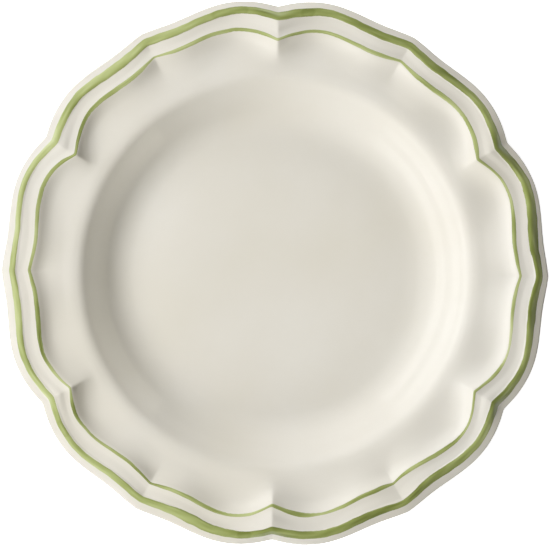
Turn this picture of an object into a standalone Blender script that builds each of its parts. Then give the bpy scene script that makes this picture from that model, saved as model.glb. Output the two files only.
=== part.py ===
"""A dinner plate with a scalloped rim, a wide painted rim band and a thin painted inner line.

The frame's origin is the middle of the plane that the foot ring stands on, and +Z runs up through
the middle of the plate. The rim has six equal lobes. Its outward points lie on +X and every sixty
degrees from there, and its inward notches lie midway between them, so two of them are on the Y axis.

Each piece is a section turned about Z. Its vertices are then drawn inwards to the plate's contour,
which repeats twelve times, mirrored, from a notch over a lobe and a shallow dip to a point, and lifted
into soft ribs at the notches and the points.
"""
import math

import bpy

MM = 0.001

# Driving dimensions, in millimetres and degrees. Radii are those of the lobes, where the plate is widest.
RIM_RADIUS = 132.5
LIP_EDGE_RADIUS = 1.45
WELL_RING_RADIUS = 68.3
WELL_RING_HEIGHT = 7.2
FOOT_OUTER_RADIUS = 70.2
FOOT_INNER_RADIUS = 67.0

BAND_INNER_RADIUS = 125.8
BAND_OUTER_RADIUS = 129.6
LINE_INNER_RADIUS = 117.6
LINE_OUTER_RADIUS = 119.4
ENAMEL_GAP = 0.3
ENAMEL_THICKNESS = 0.4

STEPS = 108
LOBES = 6
HALF_LOBE = 180.0 / LOBES
NOTCH_AZIMUTH = 30.0
LOBE_ANGLE = 11.0
DIP_ANGLE = 22.7
TURN_PER_STATION = 19.0

# The upper surface, as its slope at a few radii: (radius in mm, slope in degrees, uphill outwards).
# Between two of them the slope turns evenly, so each stretch is an arc or, at equal slopes, a cone.
# It holds where a lobe is widest, and the folds below are added to it.
TOP_SLOPES = (
    (0.0, 0.0),                 # low dome in the middle of the floor
    (38.5, -2.4),
    (57.0, -6.4),
    (62.0, -6.7),
    (WELL_RING_RADIUS, -0.8),   # lowest ring of the well
    (74.0, 15.4),               # cove into the wall
    (80.9, 36.0),
    (91.8, 36.0),               # straight wall
    (96.2, 3.0),                # rounded shoulder
    (100.0, -8.8),
    (102.5, -10.0),             # the flange dips away from the shoulder
    (106.5, -7.4),
    (111.0, 3.0),               # shallow trough
    (116.9, 32.0),              # cove up to the inner moulding
    (LINE_INNER_RADIUS, 20.6),
    (118.2, 12.0),
    (LINE_OUTER_RADIUS, -11.3),
    (119.8, -15.5),
    (121.5, -14.0),             # channel between the two mouldings
    (124.0, -0.6),
    (125.2, 8.0),
    (BAND_INNER_RADIUS, 36.0),  # steep inner side of the bead
    (126.9, 0.0),               # crest of the bead
    (128.0, -25.0),
    (129.1, -34.0),
    (BAND_OUTER_RADIUS, -32.0),
    (132.0, -28.0),             # lip that falls away to the edge
)

# The folds: (radius, share of the inner moulding's drop that the section rises by there), so that
# ribs stand at the notches and the points, and each lobe between them is scooped out.
FOLD = (
    (96.0, 0.0),
    (98.0, 0.05),
    (104.0, 0.32),
    (108.0, 0.58),
    (112.0, 0.79),
    (116.5, 0.83),
    (121.0, 0.66),
    (124.0, 0.73),
    (127.4, 0.48),
    (129.5, 0.26),
    (131.0, 0.18),
    (RIM_RADIUS, 0.16),
)

# The underside from the lip's edge to the middle, as (radius, height above the foot's plane) in mm.
UNDERSIDE = (
    (124.0, 18.9),
    (117.3, 18.0),
    (111.8, 16.8),
    (106.5, 16.5),
    (100.3, 16.6),              # under the shoulder
    (96.3, 16.1),
    (91.4, 13.7),
    (84.6, 8.8),                # wall
    (78.0, 5.0),
    (72.8, 3.35),
    (71.2, 3.0),                # outer side of the foot ring
    (FOOT_OUTER_RADIUS, 0.0),
    (FOOT_INNER_RADIUS, 0.0),   # flat face that the plate stands on
    (65.9, 2.6),
    (62.0, 2.9),                # recessed floor inside the foot ring
    (38.0, 4.1),
    (0.0, 4.9),
)

# How far the contour falls inside the lobe's radius at the notch, the dip and the point, in mm, how
# steeply it leaves the notch and meets the point, in mm per degree, and how wide the crease there is
# rounded, in degrees, each at a few of the lobe's radii. Inside the first radius the plate is round.
CONTOURS = (
    # radius, notch, dip, point, leaving notch, meeting point, crease
    (98.0, 0.0, 0.0, 0.0, 0.0, 0.0, 6.0),
    (106.7, 6.6, 2.4, -0.1, 1.06, 0.65, 3.0),
    (118.2, 6.6, 2.4, -0.1, 1.06, 0.65, 0.3),
    (127.4, 4.1, 2.5, 0.6, 0.55, 0.31, 0.3),
    (RIM_RADIUS, 4.1, 2.1, 0.5, 0.70, 0.24, 0.3),
)

CREAM = (0.80, 0.77, 0.68, 1.0)
GREEN = (0.30, 0.36, 0.08, 1.0)
GLAZE_ROUGHNESS = 0.15


def climb(run, start, end):
    """Height gained over a run whose slope turns evenly from start to end, in degrees."""
    a = math.radians(start)
    b = math.radians(end)
    if math.isclose(a, b):
        return run * math.tan(a)
    return run * (math.log(math.cos(a)) - math.log(math.cos(b))) / (b - a)


def top_surface():
    """Stations (radius, height, slope) of the upper surface, from the middle to the lip."""
    stations = [(0.0, 0.0, 0.0)]
    for (r0, s0), (r1, s1) in zip(TOP_SLOPES, TOP_SLOPES[1:]):
        pieces = max(1, math.ceil(abs(s1 - s0) / TURN_PER_STATION))
        start_height = stations[-1][1]
        for i in range(1, pieces + 1):
            radius = r0 + (r1 - r0) * i / pieces
            slope = s0 + (s1 - s0) * i / pieces
            stations.append((radius, start_height + climb(radius - r0, s0, slope), slope))
    ring_height = next(z for r, z, _ in stations if math.isclose(r, WELL_RING_RADIUS))
    return [(r, z - ring_height + WELL_RING_HEIGHT, s) for r, z, s in stations]


def raised(station, distance):
    """The point a distance above a station of the upper surface, square to the surface."""
    radius, height, slope = station
    angle = math.radians(slope)
    return (radius - distance * math.sin(angle), height + distance * math.cos(angle))


def lip_edge():
    """The rounded edge of the lip, and the upper surface cut to where that edge starts."""
    slope = TOP_SLOPES[-1][1]
    centre_radius = RIM_RADIUS - LIP_EDGE_RADIUS
    start_radius = centre_radius - LIP_EDGE_RADIUS * math.sin(math.radians(slope))
    upper = [s for s in top_surface() if s[0] < start_radius]
    last = upper[-1]
    start = (start_radius, last[1] + climb(start_radius - last[0], last[2], slope), slope)
    centre_height = start[1] - LIP_EDGE_RADIUS * math.cos(math.radians(slope))
    arc = []
    for turn in (45.0, 90.0, 135.0, 180.0):
        angle = math.radians(90.0 + slope - turn)
        arc.append((centre_radius + LIP_EDGE_RADIUS * math.cos(angle),
                    centre_height + LIP_EDGE_RADIUS * math.sin(angle)))
    return upper + [start], arc


def body_section():
    """The half section of the whole body, from the top of the axis round to its bottom."""
    upper, edge = lip_edge()
    return [(r, z) for r, z, _ in upper] + edge + list(UNDERSIDE)


def enamel_section(inner_radius, outer_radius):
    """The closed section of a painted stripe that follows the upper surface at a small gap."""
    under = [s for s in top_surface() if inner_radius - 0.01 <= s[0] <= outer_radius + 0.01]
    upper_side = [raised(s, ENAMEL_GAP + ENAMEL_THICKNESS) for s in under]
    lower_side = [raised(s, ENAMEL_GAP) for s in reversed(under)]
    return upper_side + lower_side


def ease(t, start, end, y0, y1, rate0=0.0, rate1=0.0):
    """Cubic from y0 to y1 between two angles, with the given rates of change at its ends."""
    span = end - start
    u = (t - start) / span
    rise = y0 + (y1 - y0) * u * u * (3.0 - 2.0 * u)
    return rise + rate0 * span * u * (1.0 - u) ** 2 + rate1 * span * u * u * (u - 1.0)


def contour_drop(t, notch, dip, point, leaving, meeting, crease):
    """How far the contour lies inside the lobe's radius at t degrees from the nearest notch."""
    t = math.hypot(t, crease)
    t = HALF_LOBE - math.hypot(HALF_LOBE - t, crease)
    if t < LOBE_ANGLE:
        return ease(t, 0.0, LOBE_ANGLE, notch, 0.0, rate0=-leaving)
    if t < DIP_ANGLE:
        return ease(t, LOBE_ANGLE, DIP_ANGLE, 0.0, dip)
    return ease(t, DIP_ANGLE, HALF_LOBE, dip, point, rate1=-meeting)


def drop_at(radius, t):
    """The contour's drop at any radius, blended between the contours on either side of it."""
    if radius <= CONTOURS[0][0]:
        return 0.0
    for inner, outer in zip(CONTOURS, CONTOURS[1:]):
        if radius <= outer[0]:
            break
    share = min(1.0, (radius - inner[0]) / (outer[0] - inner[0]))
    if inner is CONTOURS[0]:
        share = share * share * (3.0 - 2.0 * share)
    return (1.0 - share) * contour_drop(t, *inner[1:]) + share * contour_drop(t, *outer[1:])


def fold_share(radius):
    """The folds' share at any radius, read along a smooth curve through the table."""
    if radius <= FOLD[0][0]:
        return 0.0
    for i in range(1, len(FOLD)):
        if radius <= FOLD[i][0]:
            break
    rates = [0.0]
    for before, after in zip(FOLD, FOLD[2:]):
        rates.append((after[1] - before[1]) / (after[0] - before[0]))
    rates.append(0.0)
    inner, outer = FOLD[i - 1], FOLD[i]
    at = min(radius, outer[0])
    return ease(at, inner[0], outer[0], inner[1], outer[1], rates[i - 1], rates[i])


def fold_height(radius, t):
    """How far the folds lift a point of a given radius at t degrees from the nearest notch."""
    trough, moulding = CONTOURS[1], CONTOURS[2]
    share = min(1.0, max(0.0, (radius - trough[0]) / (moulding[0] - trough[0])))
    drop = (1.0 - share) * contour_drop(t, *trough[1:]) + share * contour_drop(t, *moulding[1:])
    return fold_share(radius) * drop


def scallop(mesh):
    """Draw a turned mesh in to the plate's contour, and lift its folds."""
    for vertex in mesh.vertices:
        radius = math.hypot(vertex.co.x, vertex.co.y)
        if radius < FOLD[0][0] * MM:
            continue
        azimuth = math.degrees(math.atan2(vertex.co.y, vertex.co.x))
        t = abs((azimuth - NOTCH_AZIMUTH + HALF_LOBE) % (2.0 * HALF_LOBE) - HALF_LOBE)
        drawn = radius - drop_at(radius / MM, t) * MM
        vertex.co.x *= drawn / radius
        vertex.co.y *= drawn / radius
        vertex.co.z += fold_height(radius / MM, t) * MM


def glazed(name, colour):
    """A glossy glaze or enamel of one colour."""
    material = bpy.data.materials.new(name)
    material.use_nodes = True
    shader = material.node_tree.nodes["Principled BSDF"]
    shader.inputs["Base Color"].default_value = colour
    shader.inputs["Roughness"].default_value = GLAZE_ROUGHNESS
    shader.inputs["Metallic"].default_value = 0.0
    material.diffuse_color = colour
    return material


def turned(name, section, closed, material, collection):
    """An object turned about Z from a section in mm, then scalloped."""
    points = [(r * MM, 0.0, z * MM) for r, z in section]
    edges = [(i, i + 1) for i in range(len(points) - 1)]
    if closed:
        edges.append((len(points) - 1, 0))
    profile = bpy.data.meshes.new(name + "_section")
    profile.from_pydata(points, edges, [])
    part = bpy.data.objects.new(name, profile)
    collection.objects.link(part)

    screw = part.modifiers.new("Turn", "SCREW")
    screw.axis = "Z"
    screw.steps = STEPS
    screw.render_steps = STEPS
    screw.use_merge_vertices = True
    screw.merge_threshold = 0.00001

    evaluated = part.evaluated_get(bpy.context.evaluated_depsgraph_get())
    mesh = bpy.data.meshes.new_from_object(evaluated)
    part.modifiers.clear()
    part.data = mesh
    bpy.data.meshes.remove(profile)
    mesh.name = name
    scallop(mesh)
    mesh.materials.append(material)
    mesh.shade_smooth()
    mesh.set_sharp_from_angle(angle=math.radians(50.0))
    return part


def build():
    for old in list(bpy.data.objects):
        bpy.data.objects.remove(old, do_unlink=True)
    plate = bpy.data.collections.new("dinner_plate")
    bpy.context.scene.collection.children.link(plate)

    cream = glazed("cream_glaze", CREAM)
    green = glazed("green_enamel", GREEN)
    turned("plate_body", body_section(), False, cream, plate)
    turned("rim_band", enamel_section(BAND_INNER_RADIUS, BAND_OUTER_RADIUS), True, green, plate)
    turned("inner_line", enamel_section(LINE_INNER_RADIUS, LINE_OUTER_RADIUS), True, green, plate)


build()
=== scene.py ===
"""The looks of a scalloped faience dinner plate with two brushed green lines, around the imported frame."""

import math

import bpy
import numpy as np
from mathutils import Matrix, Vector


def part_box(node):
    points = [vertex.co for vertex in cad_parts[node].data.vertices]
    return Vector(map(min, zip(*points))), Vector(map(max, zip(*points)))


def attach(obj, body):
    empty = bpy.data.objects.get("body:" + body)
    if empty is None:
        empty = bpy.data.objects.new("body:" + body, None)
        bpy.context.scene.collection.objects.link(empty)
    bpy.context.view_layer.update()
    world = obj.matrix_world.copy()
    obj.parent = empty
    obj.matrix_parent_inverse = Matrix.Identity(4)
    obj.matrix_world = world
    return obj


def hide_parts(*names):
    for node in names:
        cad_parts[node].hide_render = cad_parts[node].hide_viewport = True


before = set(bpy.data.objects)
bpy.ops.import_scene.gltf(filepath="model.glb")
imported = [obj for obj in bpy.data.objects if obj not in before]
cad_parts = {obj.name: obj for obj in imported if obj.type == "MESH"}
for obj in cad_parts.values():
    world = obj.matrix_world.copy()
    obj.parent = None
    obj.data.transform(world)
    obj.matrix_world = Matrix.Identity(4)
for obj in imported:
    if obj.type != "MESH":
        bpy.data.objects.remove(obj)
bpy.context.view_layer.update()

# ---------------------------------------------------------------- sizes
# Lengths are in millimetres along the plate's lobes, and UNIT turns them into the frame's metres.
POINT_RADIUS = 132.0
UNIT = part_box("plate_body")[1].x / POINT_RADIUS

RIM_RADIUS = 132.5
LIP_EDGE_RADIUS = 1.45
WELL_RING_RADIUS = 68.3
WELL_RING_HEIGHT = 7.2
FOOT_OUTER_RADIUS = 70.2
FOOT_INNER_RADIUS = 67.0
BARE_HEIGHT = 0.3               # the glaze is wiped off below this height

BAND_CREST_RADIUS = 127.4
LINE_CREST_RADIUS = 118.2

# Angles in degrees from the nearest notch: the lobe's widest place, its dip and its outward point.
LOBE_ANGLE = 11.0
DIP_ANGLE = 22.7
HALF_LOBE = 30.0
HALF_LOBES = 12

# How finely the body is meshed.
COLUMNS_PER_HALF_LOBE = 40
CREASE_CROWDING = 0.8           # how strongly the columns crowd towards the notches and points
LONGEST_STEP = 3.6              # mm between rings
LARGEST_TURN = 3.4              # degrees of slope between rings
LIP_PIECES = 12
UNDERSIDE_PIECES = 3
FOOT_PIECES = 2
SMALL_STEP = 0.05               # mm, between two points that lie next to each other

# The upper surface, as its slope at a few lobe radii: (radius, degrees uphill outwards). Between two
# of them the slope turns evenly. It holds where a lobe is widest; the folds below are added to it.
# Rows that lie close together beside a throwing ring keep its edges crisp in the mesh.
TOP_SLOPES = (
    (0.0, 0.0),                 # low dome in the middle of the floor
    (38.5, -2.4),
    (57.0, -7.2),
    (62.0, -7.6),
    (WELL_RING_RADIUS, -0.8),   # lowest ring of the well
    (74.0, 15.4),               # cove into the wall
    (78.0, 27.4),
    (80.4, 33.8),
    (82.0, 34.1),
    (82.5, 36.4),               # lower throwing ring
    (82.9, 36.4),
    (84.9, 36.4),
    (85.3, 36.4),
    (85.9, 34.9),
    (86.3, 34.9),
    (88.6, 34.9),
    (89.0, 34.9),
    (89.6, 36.4),               # upper throwing ring
    (90.0, 36.4),
    (91.2, 36.4),
    (91.7, 34.1),
    (92.1, 33.8),
    (96.2, 3.0),                # rounded shoulder
    (98.0, -5.0),
    (100.0, -8.8),
    (102.5, -10.0),             # the flange dips away from the shoulder
    (106.5, -7.7),
    (109.0, -3.4),              # shallow trough
    (111.0, 3.0),
    (113.0, 15.6),              # cove up to the inner moulding
    (116.0, 31.8),
    (116.9, 32.0),
    (117.5, 22.0),
    (118.2, 12.0),
    (119.0, -7.0),
    (119.8, -15.5),
    (121.5, -14.0),             # channel between the two mouldings
    (124.0, 0.6),
    (125.2, 5.0),
    (125.8, 25.0),              # steep inner side of the bead
    (126.9, 0.0),               # crest of the bead
    (128.0, -25.0),
    (129.1, -34.0),
    (130.2, -31.0),
    (132.0, -28.0),             # lip that falls away to the edge
)

# The folds: how much of the inner moulding's drop each radius rises by, so that ribs stand at the
# notches and the points, and each lobe between them is scooped out.
FOLD = (
    (96.0, 0.0), (98.0, 0.05), (104.0, 0.32), (108.0, 0.58), (112.0, 0.79), (116.5, 0.83), (121.0, 0.66),
    (124.0, 0.73), (127.4, 0.48), (129.5, 0.26), (131.0, 0.18), (132.5, 0.16),
)

# The underside from the lip's edge to the foot ring, and from the ring to the middle.
UNDERSIDE = (
    (124.0, 18.9), (117.3, 18.0), (111.8, 16.8), (106.5, 16.5), (100.3, 16.6),
    (96.3, 16.1), (91.4, 13.7), (84.6, 8.8), (78.0, 5.0), (72.8, 3.35),
)
FOOT_SECTION = (
    (71.5, 3.1), (71.0, 2.4), (70.8, 1.2), (70.6, 0.5), (FOOT_OUTER_RADIUS, 0.08), (69.6, 0.0),
    (67.6, 0.0), (FOOT_INNER_RADIUS, 0.08), (66.7, 0.5), (66.4, 1.4), (65.9, 2.3), (64.8, 2.8),
)
RECESS = ((62.0, 2.9), (50.0, 3.5), (38.0, 4.1), (20.0, 4.7), (0.0, 4.9))

# How far each contour falls inside the lobe's radius at the notch, dip and point, in mm, how steeply
# it leaves the notch and meets the point, in mm per degree, and how wide its creases are, in degrees.
CONTOURS = (
    # radius, notch, dip, point, leaving notch, meeting point, crease
    (98.0, 0.0, 0.0, 0.0, 0.0, 0.0, 6.0),
    (106.7, 6.6, 2.4, -0.1, 1.06, 0.65, 3.0),
    (LINE_CREST_RADIUS, 6.6, 2.4, -0.1, 1.06, 0.65, 0.3),
    (BAND_CREST_RADIUS, 4.1, 2.5, 0.6, 0.55, 0.31, 0.3),
    (RIM_RADIUS, 4.1, 2.1, 0.5, 0.70, 0.24, 0.3),
)


# ---------------------------------------------------------------- the plate's form
def climb(run, start, end):
    """Height gained over a run whose slope turns evenly from start to end, in degrees."""
    a = math.radians(start)
    b = math.radians(end)
    if math.isclose(a, b):
        return run * math.tan(a)
    return run * (math.log(math.cos(a)) - math.log(math.cos(b))) / (b - a)


def top_stations():
    """Fine stations (radius, height, slope) of the upper surface, from the middle to the lip."""
    stations = [(0.0, 0.0, 0.0)]
    for (r0, s0), (r1, s1) in zip(TOP_SLOPES, TOP_SLOPES[1:]):
        pieces = max(1, math.ceil(abs(s1 - s0) / LARGEST_TURN), math.ceil((r1 - r0) / LONGEST_STEP))
        start_height = stations[-1][1]
        for i in range(1, pieces + 1):
            radius = r0 + (r1 - r0) * i / pieces
            slope = s0 + (s1 - s0) * i / pieces
            stations.append((radius, start_height + climb(radius - r0, s0, slope), slope))
    ring_height = next(z for r, z, _ in stations if math.isclose(r, WELL_RING_RADIUS))
    return [(r, z - ring_height + WELL_RING_HEIGHT, s) for r, z, s in stations]


TOP = np.array(top_stations())
PAST_LAST_STATION = 1.2         # how far the last stretch runs on past its end, as a share of it


def top_height(radius):
    """Height of the upper surface above the foot's plane, at any lobe radius."""
    index = np.clip(np.searchsorted(TOP[:, 0], radius, side="right") - 1, 0, len(TOP) - 2)
    r0, z0, s0 = np.moveaxis(TOP[index], -1, 0)
    r1, z1, s1 = np.moveaxis(TOP[index + 1], -1, 0)
    span = r1 - r0
    u = np.clip((radius - r0) / span, 0.0, PAST_LAST_STATION)
    m0 = np.tan(np.radians(s0)) * span
    m1 = np.tan(np.radians(s1)) * span
    rise = z0 * (1 - 3 * u**2 + 2 * u**3) + z1 * (3 * u**2 - 2 * u**3)
    return rise + m0 * u * (1 - u) ** 2 + m1 * u**2 * (u - 1)


def smooth_path(points, pieces):
    """Points of a Catmull-Rom curve through the given ones."""
    p = np.array([points[0], *points, points[-1]], float)
    path = []
    for a, b, c, d in zip(p, p[1:], p[2:], p[3:]):
        for i in range(pieces):
            u = i / pieces
            path.append(0.5 * (2 * b + (c - a) * u + (2 * a - 5 * b + 4 * c - d) * u**2
                               + (3 * b - a - 3 * c + d) * u**3))
    path.append(p[-1])
    return [tuple(q) for q in path]


def body_section():
    """The half section from the top of the axis, over the rim and round to the bottom of the axis."""
    slope = TOP_SLOPES[-1][1]
    angle = math.radians(slope)
    centre_radius = RIM_RADIUS - LIP_EDGE_RADIUS
    start_radius = centre_radius - LIP_EDGE_RADIUS * math.sin(angle)
    start_height = float(top_height(np.array([start_radius]))[0])
    centre_height = start_height - LIP_EDGE_RADIUS * math.cos(angle)
    section = [(r, z) for r, z, _ in TOP if r < start_radius - SMALL_STEP]
    for turn in np.linspace(0.0, 180.0, LIP_PIECES + 1):
        a = math.radians(90.0 + slope - turn)
        section.append((centre_radius + LIP_EDGE_RADIUS * math.cos(a),
                        centre_height + LIP_EDGE_RADIUS * math.sin(a)))
    under = smooth_path([section[-1], *UNDERSIDE], UNDERSIDE_PIECES)
    foot = smooth_path([UNDERSIDE[-1], *FOOT_SECTION, RECESS[0]], FOOT_PIECES)
    recess = smooth_path(RECESS, UNDERSIDE_PIECES)
    return np.array(section + under[1:] + foot[1:] + recess[1:])


def ease(t, start, end, y0, y1, rate0=0.0, rate1=0.0):
    """Cubic from y0 to y1 between two angles, with the given rates of change at its ends."""
    span = end - start
    u = (t - start) / span
    rise = y0 + (y1 - y0) * u * u * (3.0 - 2.0 * u)
    return rise + rate0 * span * u * (1.0 - u) ** 2 + rate1 * span * u * u * (u - 1.0)


def contour_drop(t, notch, dip, point, leaving, meeting, crease):
    """How far a contour lies inside the lobe's radius at t degrees from the nearest notch."""
    t = np.hypot(t, crease)
    t = HALF_LOBE - np.hypot(HALF_LOBE - t, crease)
    to_lobe = ease(t, 0.0, LOBE_ANGLE, notch, 0.0, rate0=-leaving)
    to_dip = ease(t, LOBE_ANGLE, DIP_ANGLE, 0.0, dip)
    to_point = ease(t, DIP_ANGLE, HALF_LOBE, dip, point, rate1=-meeting)
    return np.where(t < LOBE_ANGLE, to_lobe, np.where(t < DIP_ANGLE, to_dip, to_point))


def around(keys, clock):
    """A smooth closed curve through given keys (clock, value), read at any clock angle."""
    at = np.array([k[0] for k in keys], float)
    value = np.array([k[1] for k in keys], float)
    at = np.concatenate([at[-2:] - 360.0, at, at[:3] + 360.0])
    value = np.concatenate([value[-2:], value, value[:3]])
    clock = np.mod(clock, 360.0)
    i = np.searchsorted(at, clock, side="right") - 1
    u = (clock - at[i]) / (at[i + 1] - at[i])
    u = u * u * (3.0 - 2.0 * u)
    return value[i] * (1.0 - u) + value[i + 1] * u


# Where the mouldings wander off the regular contour: (clock angle, mm outwards). The clock angle runs
# clockwise, seen from above, from the notch on +Y.
LINE_WANDER = (
    (0, 0.0), (6, -0.15), (24, 0.2), (36, 0.5), (43, 0.4), (51, -0.5), (60, -0.4), (67, 0.6),
    (78, 0.4), (89, -0.1), (97, -0.3), (107, 0.1), (120, -0.5), (129, 0.8), (138, 0.0),
    (149, -2.2), (157, -0.7), (163, -0.2), (179, -0.6), (187, 0.3), (203, -0.5), (222, -1.1),
    (229, -0.4), (235, 0.85), (240, 0.9), (247, 0.0), (257, -0.6), (270, 0.1), (284, 0.65),
    (294, 1.05), (302, -0.7), (318, 0.1), (330, 0.8), (342, 1.4), (349, 0.4),
)
BAND_WANDER = (
    (2, -0.4), (13, 0.05), (28, 0.1), (57, 0.0), (61, -0.2), (70, 0.65), (79, 0.3), (90, 0.35),
    (96, -0.25), (112, 0.1), (121, -0.3), (128, -0.35), (138, -0.9), (150, 0.1), (164, 0.15),
    (176, 0.1), (182, 0.95), (192, -0.5), (198, -1.25), (204, -0.7), (222, -0.15), (246, -0.3),
    (270, -0.45), (277, 0.65), (290, 0.75), (305, -0.4), (314, -0.6), (323, -0.5), (330, 0.0),
    (337, 0.35), (348, 0.15), (355, 0.7),
)


def share_of_way(x, start, end):
    """How far x is on its way from start to end, from 0 to 1. The end may be below the start."""
    return np.clip((x - start) / (end - start), 0.0, 1.0)


def from_notch(clock):
    """Degrees between a clock angle and the nearest notch."""
    return np.abs(np.mod(clock + HALF_LOBE, 2 * HALF_LOBE) - HALF_LOBE)


def drop_at(radius, clock):
    """How far a point of the given lobe radius is drawn in at a clock angle, in mm."""
    t = from_notch(clock)
    wander = {
        LINE_CREST_RADIUS: around(LINE_WANDER, clock),
        BAND_CREST_RADIUS: around(BAND_WANDER, clock),
    }
    radii = [row[0] for row in CONTOURS]
    drops = [contour_drop(t, *row[1:]) - wander.get(row[0], 0.0) for row in CONTOURS]
    result = np.zeros(np.broadcast(radius, clock).shape)
    for k in range(len(radii) - 1):
        share = share_of_way(radius, radii[k], radii[k + 1])
        if k == 0:
            share = share * share * (3.0 - 2.0 * share)
        between = (1.0 - share) * drops[k] + share * drops[k + 1]
        inside = (radius > radii[k]) & ((radius <= radii[k + 1]) | (k == len(radii) - 2))
        result = np.where(inside, between, result)
    return result


def ripples(waves, clock, seed=1.0):
    """The sum of a few waves (how many round the plate, size, phase for each unit of the seed)."""
    c = np.radians(clock)
    return sum(size * np.sin(count * c + phase * seed) for count, size, phase in waves)


# Unevenness of the hand-finished body, in mm: a faint warp of the whole plate, and a wave that winds
# round the well. Each comes in between the radii or heights that are given as a pair.
WARP = ((2, 0.05, 0.8), (3, 0.03, 2.1))
WARP_RADII = (20.0, 80.0)
WELL_WAVES = 5
WELL_WAVE_SIZE = 0.02
WELL_WAVE_TWIST = 0.05          # radians for each mm outwards
WELL_WAVE_RADII = (100.0, 70.0)
UNEVEN_HEIGHTS = (0.0, 20.0)


def unevenness(radius, clock):
    """How far the body rises above its true form at a lobe radius and clock angle, in mm."""
    turned = WELL_WAVES * np.radians(clock) + WELL_WAVE_TWIST * radius
    wave = WELL_WAVE_SIZE * np.sin(turned) * share_of_way(radius, *WELL_WAVE_RADII)
    return share_of_way(radius, *WARP_RADII) * (ripples(WARP, clock) + wave)


def along(table, x):
    """A smooth curve through a table of (x, y), read at x, level beyond its ends."""
    at = np.array([row[0] for row in table], float)
    value = np.array([row[1] for row in table], float)
    rate = np.gradient(value, at)
    rate[0] = rate[-1] = 0.0
    x = np.clip(x, at[0], at[-1])
    i = np.clip(np.searchsorted(at, x, side="right") - 1, 0, len(at) - 2)
    step = at[i + 1] - at[i]
    u = (x - at[i]) / step
    rise = value[i] * (1 - 3 * u**2 + 2 * u**3) + value[i + 1] * (3 * u**2 - 2 * u**3)
    return rise + step * (rate[i] * u * (1 - u) ** 2 + rate[i + 1] * u**2 * (u - 1))


def fold_height(radius, clock):
    """How far the folds lift a point of the given lobe radius at a clock angle, in mm."""
    t = from_notch(clock)
    inner, outer = CONTOURS[1], CONTOURS[2]
    sharp = share_of_way(radius, inner[0], outer[0])
    fold = (1.0 - sharp) * contour_drop(t, *inner[1:]) + sharp * contour_drop(t, *outer[1:])
    return along(FOLD, radius) * fold


def place(radius, height, clock):
    """Points in the frame from lobe radius, height and clock angle."""
    actual = radius - drop_at(radius, clock)
    a = np.radians(clock)
    z = height + fold_height(radius, clock)
    z = z + unevenness(radius, clock) * share_of_way(height, *UNEVEN_HEIGHTS)
    return np.stack([actual * np.sin(a), actual * np.cos(a), z], -1) * UNIT


def clock_columns():
    """Clock angles all round, crowded towards the notches and the points where the creases are."""
    u = np.arange(COLUMNS_PER_HALF_LOBE) / COLUMNS_PER_HALF_LOBE
    t = HALF_LOBE * (u - CREASE_CROWDING * np.sin(2 * math.pi * u) / (2 * math.pi))
    return np.concatenate([t + HALF_LOBE * k for k in range(HALF_LOBES)])


# ---------------------------------------------------------------- meshes
def linked(name, data):
    """A new object with the given mesh, light or camera, placed in the scene."""
    made = bpy.data.objects.new(name, data)
    bpy.context.scene.collection.objects.link(made)
    return made


def object_from(name, vertices, faces):
    """A smooth mesh object."""
    mesh = bpy.data.meshes.new(name)
    mesh.from_pydata([tuple(v) for v in vertices], [], faces)
    mesh.validate()
    mesh.shade_smooth()
    return linked(name, mesh)


def mark(piece, name, values):
    """Keep one number for each vertex, for the material to read."""
    attribute = piece.data.attributes.new(name, "FLOAT", "POINT")
    attribute.data.foreach_set("value", np.ascontiguousarray(values, dtype=np.float32))


def ring_faces(rows, columns, first=0):
    """Quads between closed rings of vertices that are stored one ring after the other."""
    faces = []
    for i in range(rows - 1):
        a = first + i * columns
        b = a + columns
        for j in range(columns):
            k = (j + 1) % columns
            faces.append((a + j, b + j, b + k, a + k))
    return faces


def plate_body():
    """The glazed body: the turned section drawn in to the lobed contour."""
    section = body_section()
    clock = clock_columns()
    rings = section[1:-1]
    points = place(rings[:, :1], rings[:, 1:], clock[None, :])
    columns = len(clock)
    vertices = [(0.0, 0.0, section[0][1] * UNIT), (0.0, 0.0, section[-1][1] * UNIT)]
    vertices += [tuple(p) for p in points.reshape(-1, 3)]
    faces = ring_faces(len(rings), columns, first=2)
    last = 2 + (len(rings) - 1) * columns
    for j in range(columns):
        k = (j + 1) % columns
        faces.append((0, 2 + j, 2 + k))
        faces.append((1, last + k, last + j))
    piece = object_from("glazed_body", vertices, faces)
    standing = rings[:, 1] < BARE_HEIGHT
    mark(piece, "bare", np.concatenate([[0.0, 0.0], np.repeat(standing, columns)]))
    return piece


# How the enamel lies. Lengths are in mm, and depths of colour run from 0 to 1.
PAINT_COLUMNS = 1440
PAINT_ROOT = 0.06               # the film's back lies this far inside the glaze
PAINT_FEATHER = 0.02            # its feathered edges sink this far in
FEATHER_ROWS = 3.0              # rows of vertices over which the film thins out to its edge
THINNEST_FILM = 0.4             # share of the film's thickness where it has no colour
DEEPEST_PAINT = 1.2             # depth of colour past which the film gets no thicker
STRANDS = 5                     # bristle streaks across a line
STRAND_WAVES = (5, 11, 19, 31, 53)
STRAND_SCALE = 3.0              # what the sum of the strands' waves is divided by
STREAK_DEPTH = 0.34             # how strongly the streaks change the depth of colour
PALE_MIDDLE = 0.06              # how much paler the middle of a line is than its edges
OVERLAP_BOW = 0.9               # degrees by which the front of a lapped stroke is rounded
OVERLAP_SOFTNESS = 0.5          # degrees over which it sets in
OVERLAP_EDGE = 0.6              # degrees over which paint has pooled behind the front
OVERLAP_BODY = 0.7              # share of the extra depth that is away from the front
# Ripples along a line, in the form that ripples() reads: of its edges, as a share of its half width,
# and of its middle, in mm.
EDGE_RIPPLES = ((37, 0.035, 1), (83, 0.03, 2), (131, 0.02, 0))
SWAY_RIPPLES = ((29, 0.05, 1), (61, 0.03, 3))


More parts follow.
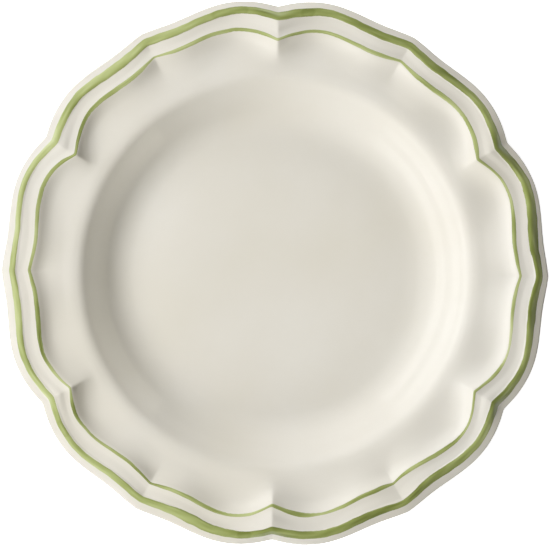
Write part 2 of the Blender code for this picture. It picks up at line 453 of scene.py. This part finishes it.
def streaks(rows, columns, seed):
    """Bristle streaks that run along a stroke: a slow random drift for each strand of the film."""
    rng = np.random.default_rng(seed)
    turn = np.linspace(0.0, 2 * math.pi, columns, endpoint=False)
    strands = np.zeros((STRANDS, columns))
    for wave in STRAND_WAVES:
        phase = rng.uniform(0.0, 2 * math.pi, (STRANDS, 1))
        strands += rng.uniform(0.5, 1.0, (STRANDS, 1)) * np.sin(wave * turn[None, :] + phase)
    at = np.linspace(0.0, STRANDS - 1.0, rows)
    low = np.minimum(at.astype(int), STRANDS - 2)
    share = (at - low)[:, None]
    return ((1.0 - share) * strands[low] + share * strands[low + 1]) / STRAND_SCALE


def paint_depth(clock, across, depths, lean, overlaps, seed):
    """Depth of colour over a painted line, at clock angles and at places across it from -1 to 1."""
    depth = np.repeat(around(depths, clock)[None, :], len(across), axis=0)
    streaked = STREAK_DEPTH * streaks(len(across), len(clock), seed)
    depth *= 1.0 + streaked - PALE_MIDDLE * (1.0 - np.abs(across) ** 3)
    # Painted light and shade: the band's outer edge is made paler or deeper by clock angle.
    if lean:
        depth += around(lean, clock)[None, :] * across
    rounding = OVERLAP_BOW * (1.0 - np.sqrt(np.clip(1.0 - across**2, 0.0, 1.0)))
    for middle, length, extra in overlaps:
        offset = np.mod(clock[None, :] - middle + 180.0, 360.0) - 180.0
        within = length / 2.0 - rounding - np.abs(offset)
        inside = np.clip(within / OVERLAP_SOFTNESS + 0.5, 0.0, 1.0)
        pooled = OVERLAP_BODY + (1.0 - OVERLAP_BODY) * np.exp(-(within / OVERLAP_EDGE) ** 2)
        depth += extra * inside * pooled
    return depth


def brushed_enamel(name, centre_radius, rows, film, seed, widths, depths, lean=(), overlaps=()):
    """A painted line: a thin film on a moulding, with ragged feathered edges.

    Its depth of colour is kept in the vertex attribute "paint". Where one stroke laps over another,
    an overlap (clock angle, degrees long, extra depth) darkens it with a rounded front."""
    clock = np.arange(PAINT_COLUMNS) * 360.0 / PAINT_COLUMNS
    across = np.linspace(-1.0, 1.0, rows)[:, None]
    half = around(widths, clock)[None, :] / 2.0
    ragged = 1.0 + ripples(EDGE_RIPPLES, clock, seed)[None, :] * np.sign(across)
    radius = centre_radius + ripples(SWAY_RIPPLES, clock, seed)[None, :] + across * half * ragged

    depth = paint_depth(clock, across, depths, lean, overlaps, seed)
    edge = np.clip((1.0 - np.abs(across)) * rows / FEATHER_ROWS, 0.0, 1.0)
    fullness = np.clip(depth, 0.0, DEEPEST_PAINT) * (1.0 - THINNEST_FILM) + THINNEST_FILM
    lift = film * fullness * edge - PAINT_FEATHER * (1.0 - edge)

    around_all = clock[None, :] + 0.0 * radius
    flat = place(radius, top_height(radius), around_all)
    outward = place(radius + SMALL_STEP, top_height(radius + SMALL_STEP), around_all) - flat
    onward = np.roll(flat, -1, axis=1) - np.roll(flat, 1, axis=1)
    normal = np.cross(onward, outward)
    normal /= np.linalg.norm(normal, axis=-1, keepdims=True)
    normal *= np.sign(normal[..., 2:])
    top = flat + normal * lift[..., None] * UNIT
    back = flat - normal * PAINT_ROOT * UNIT

    points = np.concatenate([top, back[::-1]])
    piece = object_from(name, points.reshape(-1, 3), ring_faces(2 * rows, PAINT_COLUMNS))
    mark(piece, "paint", np.concatenate([depth, depth[::-1]]).ravel())
    return piece


# Width of each painted line: (clock angle, mm).
BAND_WIDTH = (
    (2, 4.0), (7, 4.1), (14, 3.7), (36, 4.1), (48, 3.4), (61, 3.9), (72, 5.1), (79, 5.2), (90, 3.7),
    (97, 4.0), (108, 3.3), (121, 3.7), (138, 3.7), (150, 2.9), (164, 4.0), (176, 3.9), (183, 3.5),
    (192, 4.3), (198, 4.6), (206, 3.4), (212, 3.1), (240, 2.8), (258, 3.3), (276, 2.8), (294, 3.4),
    (306, 3.6), (320, 4.4), (332, 4.3), (342, 4.0), (355, 3.9),
)
LINE_WIDTH = (
    (0.7, 1.3), (5, 1.7), (16, 1.9), (25, 2.2), (30, 1.4), (36, 2.4), (42, 2.6), (50, 2.0), (57, 2.4),
    (60, 1.5), (64, 1.4), (72, 1.6), (79, 2.2), (86, 1.9), (90, 1.3), (96, 1.9), (103, 1.6), (108, 1.1),
    (114, 1.9), (120, 1.3), (127, 1.3), (137, 2.5), (144, 2.0), (149.5, 1.0), (153, 2.1), (162, 1.9),
    (168, 1.4), (174, 2.6), (179, 1.9), (181, 1.1), (187, 1.6), (198, 2.4), (206, 1.9), (210, 1.2),
    (217, 1.6), (228, 1.4), (236, 2.1), (240, 1.1), (247, 1.9), (258, 2.5), (266, 2.2), (270, 1.7),
    (277, 1.8), (290, 2.3), (297, 2.1), (300, 1.3), (306, 2.0), (318, 2.6), (325, 2.4), (330, 1.1),
    (336, 2.0), (342, 2.2), (356, 1.8),
)
# Depth of the green colour along each painted line: (clock angle, depth from 0 to 1).
# The band's depths also hold painted light and shade: paler all along the lit left side, deeper along the
# shaded right side.
BAND_DEPTH_AND_PAINTED_LIGHT = (
    (0, 0.80), (15, 0.72), (24, 0.78), (31, 0.72), (39, 0.90), (54, 0.68), (60, 1.00), (70, 0.78),
    (84, 0.95), (96, 0.95), (108, 0.76), (114, 0.82), (120, 1.00), (126, 0.66), (132, 0.68), (144, 0.92),
    (150, 0.78), (156, 0.92), (170, 0.74), (180, 0.88), (186, 0.82), (192, 0.66), (198, 0.70),
    (204, 0.56), (210, 0.66), (220, 0.50), (234, 0.58), (243, 0.45), (252, 0.60), (260, 0.42),
    (270, 0.60), (280, 0.38), (291, 0.46), (300, 0.36), (309, 0.62), (318, 0.46), (330, 0.56),
    (342, 0.56), (350, 0.68),
)
LINE_DEPTH = (
    (0, 0.50), (6, 0.58), (15, 0.50), (30, 0.48), (38, 0.68), (48, 0.46), (57, 0.60), (66, 0.46),
    (72, 0.40), (78, 0.74), (86, 0.52), (96, 0.50), (104, 0.26), (109, 0.24), (114, 0.68), (120, 0.52),
    (126, 0.46), (135, 0.78), (144, 0.46), (150, 0.80), (160, 0.68), (168, 0.42), (174, 0.86),
    (182, 0.52), (187, 0.44), (196, 0.68), (204, 0.46), (210, 0.88), (216, 0.62), (224, 0.52),
    (229, 0.54), (234, 0.92), (240, 0.42), (246, 0.54), (252, 0.92), (258, 0.80), (266, 0.62),
    (276, 0.42), (285, 0.56), (294, 0.52), (300, 0.80), (306, 0.82), (312, 0.66), (320, 0.50),
    (330, 0.38), (339, 0.50), (348, 0.58), (354, 0.56),
)
# Painted light and shade: how much deeper the colour is at the band's outer edge than in the middle, paler
# on the lit left and deeper on the shaded right: (clock angle, extra depth).
BAND_EDGE_LIGHT_AND_SHADE = (
    (0, 0.0), (20, 0.05), (90, 0.06), (170, 0.0), (215, -0.12), (270, -0.18), (320, -0.14), (345, 0.0),
)
# Where one stroke of the band laps over another: (clock angle, degrees long, extra depth).
BAND_OVERLAPS = (
    (186.0, 3.0, 0.14), (349.5, 8.0, 0.12), (6.5, 3.0, 0.14), (233.0, 4.0, 0.10), (122.0, 5.0, 0.10),
)


# ---------------------------------------------------------------- materials
def new_material(name):
    """A node material, its tree and its shader."""
    material = bpy.data.materials.new(name)
    material.use_nodes = True
    tree = material.node_tree
    return material, tree, tree.nodes["Principled BSDF"]


def node(tree, kind, **settings):
    """A new node with some of its settings changed."""
    made = tree.nodes.new(kind)
    for key, value in settings.items():
        setattr(made, key, value)
    return made


def noise(tree, scale, detail):
    """Noise in object space, at a scale per metre."""
    where = node(tree, "ShaderNodeTexCoord")
    made = node(tree, "ShaderNodeTexNoise")
    made.inputs["Scale"].default_value = scale
    made.inputs["Detail"].default_value = detail
    tree.links.new(where.outputs["Object"], made.inputs["Vector"])
    return made.outputs["Fac"]


def ramp(tree, source, stops):
    """A colour read from stops (position, colour)."""
    made = node(tree, "ShaderNodeValToRGB")
    elements = made.color_ramp.elements
    while len(elements) < len(stops):
        elements.new(0.5)
    for element, (position, colour) in zip(elements, stops):
        element.position = position
        element.color = (*colour, 1.0)
    tree.links.new(source, made.inputs["Fac"])
    return made.outputs["Color"]


def span(tree, source, low, high, out_low, out_high):
    """A value moved from one range to another, and kept inside it."""
    made = node(tree, "ShaderNodeMapRange")
    made.inputs["From Min"].default_value = low
    made.inputs["From Max"].default_value = high
    made.inputs["To Min"].default_value = out_low
    made.inputs["To Max"].default_value = out_high
    tree.links.new(source, made.inputs["Value"])
    return made.outputs["Result"]


def bump(tree, source, strength, distance):
    """A normal that follows the height of a pattern."""
    made = node(tree, "ShaderNodeBump")
    made.inputs["Strength"].default_value = strength
    made.inputs["Distance"].default_value = distance
    tree.links.new(source, made.inputs["Height"])
    return made.outputs["Normal"]


# The sockets of a Mix node that blends colours.
MIX_SHARE = 0
MIX_A = 6
MIX_B = 7
MIX_RESULT = 2


def mix(tree, share, source, colour):
    """A colour that turns from a source into a fixed colour as the share rises."""
    made = node(tree, "ShaderNodeMix", data_type="RGBA")
    tree.links.new(share, made.inputs[MIX_SHARE])
    tree.links.new(source, made.inputs[MIX_A])
    made.inputs[MIX_B].default_value = (*colour, 1.0)
    return made.outputs[MIX_RESULT]


# The glaze where it has its usual thickness, where it is thick and where it is thin.
CREAM = (0.692, 0.664, 0.600)
CREAM_THICK = (0.674, 0.644, 0.568)
CREAM_THIN = (0.712, 0.688, 0.632)

# The fired clay under the glaze.
BISCUIT = (0.700, 0.560, 0.420)
BISCUIT_ROUGHNESS = 0.75

GREEN_STOPS = (
    # depth of the enamel, colour
    (0.00, (0.64, 0.64, 0.50)),
    (0.25, (0.50, 0.54, 0.27)),
    (0.50, (0.36, 0.405, 0.155)),
    (0.75, (0.25, 0.29, 0.085)),
    (1.00, (0.165, 0.196, 0.045)),
)


def cream_glaze():
    """Warm cream glaze: slow drifts of tone, a faint orange-peel surface and uneven gloss.

    The attribute "bare" marks the face of the foot ring that was wiped clean for the kiln."""
    material, tree, shader = new_material("cream_glaze")
    drift = noise(tree, scale=14.0, detail=2.0)
    tone = ramp(tree, drift, ((0.30, CREAM_THICK), (0.50, CREAM), (0.72, CREAM_THIN)))
    mottle = noise(tree, scale=160.0, detail=3.0)
    thicker = span(tree, mottle, low=0.35, high=0.75, out_low=0.0, out_high=0.12)
    glaze = mix(tree, thicker, tone, CREAM_THICK)
    bare = node(tree, "ShaderNodeAttribute", attribute_name="bare").outputs["Fac"]
    tree.links.new(mix(tree, bare, glaze, BISCUIT), shader.inputs["Base Color"])
    patches = noise(tree, scale=55.0, detail=2.0)
    gloss = span(tree, patches, low=0.3, high=0.7, out_low=0.02, out_high=0.05)
    roughness = node(tree, "ShaderNodeMath", operation="MULTIPLY_ADD")
    roughness.inputs[1].default_value = BISCUIT_ROUGHNESS
    tree.links.new(bare, roughness.inputs[0])
    tree.links.new(gloss, roughness.inputs[2])
    tree.links.new(roughness.outputs[0], shader.inputs["Roughness"])
    orange_peel = bump(tree, noise(tree, scale=70.0, detail=1.0), strength=0.05, distance=0.0002)
    tree.links.new(orange_peel, shader.inputs["Normal"])
    shader.inputs["IOR"].default_value = 1.5
    return material


def green_enamel():
    """Brushed green: its depth of colour follows the paint's thickness, the bristles' streaks and, on the
    rim band, painted light and shade.
    """
    material, tree, shader = new_material("green_enamel")
    paint = node(tree, "ShaderNodeAttribute", attribute_name="paint").outputs["Fac"]
    blots = noise(tree, scale=90.0, detail=3.0)
    deeper = span(tree, blots, low=0.3, high=0.7, out_low=-0.05, out_high=0.05)
    total = node(tree, "ShaderNodeMath", operation="ADD")
    tree.links.new(paint, total.inputs[0])
    tree.links.new(deeper, total.inputs[1])
    tree.links.new(ramp(tree, total.outputs[0], GREEN_STOPS), shader.inputs["Base Color"])
    roughness = span(tree, blots, low=0.3, high=0.7, out_low=0.10, out_high=0.20)
    tree.links.new(roughness, shader.inputs["Roughness"])
    grain = bump(tree, noise(tree, scale=260.0, detail=2.0), strength=0.12, distance=0.0002)
    tree.links.new(grain, shader.inputs["Normal"])
    return material


# ---------------------------------------------------------------- build
body = plate_body()
body.data.materials.append(cream_glaze())
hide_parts("plate_body")
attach(body, "root")

enamel = green_enamel()
band = brushed_enamel(
    "brushed_rim_band", centre_radius=127.8, rows=19, film=0.06, seed=1,
    widths=BAND_WIDTH, depths=BAND_DEPTH_AND_PAINTED_LIGHT, lean=BAND_EDGE_LIGHT_AND_SHADE, overlaps=BAND_OVERLAPS,
)
line = brushed_enamel(
    "brushed_inner_line", centre_radius=118.5, rows=13, film=0.05, seed=2,
    widths=LINE_WIDTH, depths=LINE_DEPTH,
)
for piece, cad_node in ((band, "rim_band"), (line, "inner_line")):
    piece.data.materials.append(enamel)
    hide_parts(cad_node)
    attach(piece, "root")


# ---------------------------------------------------------------- stage, light and camera
FLOOR_HALF_WIDTH = 3.0
LAMP_DISTANCE = 3.0
PANEL_DISTANCE = 1.1
PANEL_TURN = 17.0               # degrees that one panel of a reflected arc spans, about

SOFT_LIGHTS = (
    # clock angle, elevation, width, strength, colour
    (0, 12, 24, 1.16, (1.0, 1.0, 1.0)),
    (190, 13, 36, 1.74, (1.0, 1.0, 0.98)),
    (180, 28, 24, 0.20, (1.0, 0.93, 0.72)),
    (90, 28, 30, 0.08, (1.0, 0.86, 0.30)),
    (240, 45, 24, 0.50, (1.0, 0.99, 0.96)),
    (270, 45, 24, 1.31, (0.99, 1.0, 1.05)),
    (300, 45, 24, 1.24, (0.99, 1.0, 1.02)),
    (330, 36, 30, 0.40, (0.98, 0.98, 0.95)),
    (285, 64, 30, 0.30, (1.0, 0.94, 0.72)),
)
REFLECTED_ARCS = (
    # first and last clock angle, lowest and highest elevation, radiance, colour
    (216.0, 300.5, 22.4, 40.0, 1.0, (1.0, 1.0, 1.0)),
    (300.5, 319.0, 21.9, 40.0, 1.0, (1.0, 1.0, 1.0)),
    (40.0, 140.0, 8.0, 24.6, 1.2, (1.0, 0.95, 0.80)),
)


def floor():
    """A plain pale floor. It glows softly, and its light reaches only the camera and the gloss."""
    mesh = bpy.data.meshes.new("floor")
    half = FLOOR_HALF_WIDTH
    corners = [(-half, -half, 0.0), (half, -half, 0.0), (half, half, 0.0), (-half, half, 0.0)]
    mesh.from_pydata(corners, [], [(0, 1, 2, 3)])
    piece = linked("floor", mesh)
    material, _, shader = new_material("pale_floor")
    shader.inputs["Base Color"].default_value = (0.95, 0.95, 0.95, 1.0)
    shader.inputs["Roughness"].default_value = 0.9
    shader.inputs["Specular IOR Level"].default_value = 0.1
    shader.inputs["Emission Color"].default_value = (1.0, 1.0, 1.0, 1.0)
    shader.inputs["Emission Strength"].default_value = 0.85
    piece.data.materials.append(material)
    piece.visible_diffuse = False


def aimed(name, light, clock, elevation, distance):
    """Place a light at a clock angle and elevation, turned towards the plate."""
    lamp = linked(name, light)
    a = math.radians(clock)
    e = math.radians(elevation)
    direction = Vector((math.sin(a) * math.cos(e), math.cos(a) * math.cos(e), math.sin(e)))
    lamp.location = direction * distance
    lamp.rotation_euler = direction.to_track_quat("Z", "Y").to_euler()
    return lamp


def soft_light(clock, elevation, angle, strength, colour):
    """A distant soft light that is angle degrees wide."""
    light = bpy.data.lights.new("soft_light", "SUN")
    light.energy = strength
    light.angle = math.radians(angle)
    light.color = colour
    aimed("soft_light", light, clock, elevation, LAMP_DISTANCE).visible_glossy = False


def reflected_arc(first_clock, last_clock, low, high, radiance, colour):
    """A row of upright lit panels, seen only in the glaze, between two clock angles and elevations."""
    panels = max(1, round((last_clock - first_clock) / PANEL_TURN))
    turn = (last_clock - first_clock) / panels
    bottom = PANEL_DISTANCE * math.tan(math.radians(low))
    top = PANEL_DISTANCE * math.tan(math.radians(high))
    for i in range(panels):
        light = bpy.data.lights.new("panel", "AREA")
        light.shape = "RECTANGLE"
        light.size = 2.0 * PANEL_DISTANCE * math.tan(math.radians(turn / 2.0))
        light.size_y = top - bottom
        light.energy = radiance * light.size * light.size_y * math.pi
        light.color = colour
        lamp = aimed("panel", light, first_clock + (i + 0.5) * turn, 0.0, PANEL_DISTANCE)
        lamp.location.z = (top + bottom) / 2.0
        lamp.visible_diffuse = False
        lamp.visible_camera = False


floor()
for soft_values in SOFT_LIGHTS:
    soft_light(*soft_values)
for arc_values in REFLECTED_ARCS:
    reflected_arc(*arc_values)


def studio_world():
    """A grey surround that brightens towards the horizon, seen by the camera and in the glaze."""
    world = bpy.data.worlds.new("studio")
    bpy.context.scene.world = world
    world.use_nodes = True
    world.cycles_visibility.diffuse = False
    tree = world.node_tree
    where = tree.nodes.new("ShaderNodeTexCoord")
    split = tree.nodes.new("ShaderNodeSeparateXYZ")
    tree.links.new(where.outputs["Generated"], split.inputs["Vector"])
    strength = span(tree, split.outputs["Z"], low=0.02, high=0.10, out_low=0.8, out_high=0.2)
    tree.links.new(strength, tree.nodes["Background"].inputs["Strength"])
    tree.nodes["Background"].inputs["Color"].default_value = (1.0, 1.0, 1.0, 1.0)


studio_world()
bpy.context.scene.view_settings.view_transform = "Standard"

# The camera looks straight down on the middle of the plate.
CAMERA_DISTANCE = 3.0
FIELD_WIDTH = 0.2644            # metres across the picture, at the height of the painted band
ROLL = 0.7                      # degrees
rim_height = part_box("rim_band")[1].z
camera = bpy.data.cameras.new("camera")
camera.sensor_width = 36.0
camera.lens = camera.sensor_width * CAMERA_DISTANCE / FIELD_WIDTH
camera.clip_end = 50.0
viewer = linked("camera", camera)
viewer.location = (0.0, 0.0, rim_height + CAMERA_DISTANCE)
viewer.rotation_euler = (0.0, 0.0, math.radians(ROLL))
bpy.context.scene.camera = viewer
